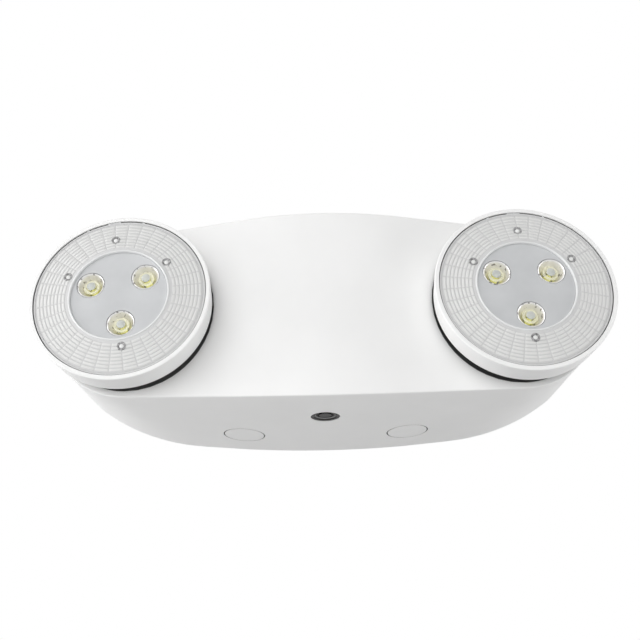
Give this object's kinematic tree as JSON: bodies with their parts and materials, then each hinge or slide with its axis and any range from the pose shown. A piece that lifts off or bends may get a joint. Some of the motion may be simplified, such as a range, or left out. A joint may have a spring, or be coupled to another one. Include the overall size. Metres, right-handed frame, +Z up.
{
  "type": "wall emergency light",
  "caption": "White wall emergency light: bowed oval housing with a pair of round adjustable lamp heads, prismatic ring lenses, conduit knockouts and a smoked test window below.",
  "frame": {"origin": "middle of the wall plate's back face, where the light meets the wall, on the centre line of the box screw holes", "axes": "+X to the right along the light, +Z up, +Y into the wall, so the light stands out toward -Y"},
  "size_m": [0.2883, 0.105, 0.0996],
  "materials": {
    "shell_white": "fine satin",
    "plate_white": "fine satin",
    "smoke": "polished, smoked",
    "clear_lens": "clear, moulded ribs",
    "bright_reflector": "bright plated",
    "satin_plate": "satin",
    "led_yellow": "phosphor",
    "led_red": "diffused",
    "board_green": "solder mask",
    "core_steel": "varnished laminations",
    "coil_tape": "tape",
    "can_dark": "sleeved can",
    "relay_blue": "moulded",
    "terminal_green": "moulded",
    "switch_black": "moulded",
    "socket_ivory": "moulded",
    "cell_can": "plated can",
    "sleeve_blue": "shrink film",
    "bright_steel": "zinc plated",
    "lead_white": "extruded"
  },
  "bodies": {
    "housing": {"housing": "shell_white", "back_plate": "plate_white", "indicator_window": "smoke", "test_switch": "switch_black", "indicator_leds": "led_red", "circuit_board": "board_green", "board_screws": "bright_steel", "transformer_core": "core_steel", "transformer_coil": "coil_tape", "capacitors": "can_dark", "relay": "relay_blue", "mains_terminal": "terminal_green", "lead_sockets": "socket_ivory", "battery_cells": "cell_can", "battery_sleeve": "sleeve_blue", "battery_straps": "bright_steel", "strap_screws": "bright_steel", "battery_lead": "lead_white", "left_lamp_lead": "lead_white", "right_lamp_lead": "lead_white", "left_friction_washer": "bright_steel", "right_friction_washer": "bright_steel"},
    "test_button": {"test_button": "smoke", "switch_plunger": "switch_black"},
    "left_swivel": {"left_swivel_base": "shell_white", "left_swivel_clip": "bright_steel"},
    "left_head": {"left_tilt_screw": "bright_steel", "left_tilt_nut": "bright_steel", "left_head_shell": "shell_white", "left_reflector": "bright_reflector", "left_led_board": "satin_plate", "left_leds": "led_yellow", "left_optics": "clear_lens", "left_led_plate": "satin_plate", "left_lens": "clear_lens"},
    "right_swivel": {"right_swivel_base": "shell_white", "right_swivel_clip": "bright_steel"},
    "right_head": {"right_tilt_screw": "bright_steel", "right_tilt_nut": "bright_steel", "right_head_shell": "shell_white", "right_reflector": "bright_reflector", "right_led_board": "satin_plate", "right_leds": "led_yellow", "right_optics": "clear_lens", "right_led_plate": "satin_plate", "right_lens": "clear_lens"}
  },
  "joints": [
    {"name": "left_swivel_turn", "type": "hinge", "parent": "housing", "child": "left_swivel", "pos_m": [-0.09787, -0.08085, 0], "axis": [-0.1478, -0.989, 0], "range_deg": [-170, 170]},
    {"name": "left_head_tilt", "type": "hinge", "parent": "left_swivel", "child": "left_head", "pos_m": [-0.09832, -0.08038, -0.00031], "axis": [-0.5049, 0.0755, 0.8599], "range_deg": [-13.9, 0.5]},
    {"name": "right_swivel_turn", "type": "hinge", "parent": "housing", "child": "right_swivel", "pos_m": [0.09787, -0.08085, 0], "axis": [0.1478, -0.989, 0], "range_deg": [-170, 170]},
    {"name": "right_head_tilt", "type": "hinge", "parent": "right_swivel", "child": "right_head", "pos_m": [0.09832, -0.08038, -0.00031], "axis": [0.5049, 0.0755, 0.8599], "range_deg": [-0.5, 13.9]},
    {"name": "test_button_press", "type": "slide", "parent": "housing", "child": "test_button", "axis": [0, 0, 1], "range_m": [0, 0.0012], "stiffness_N_per_m": 500, "springref_m": -0.0006}
  ]
}
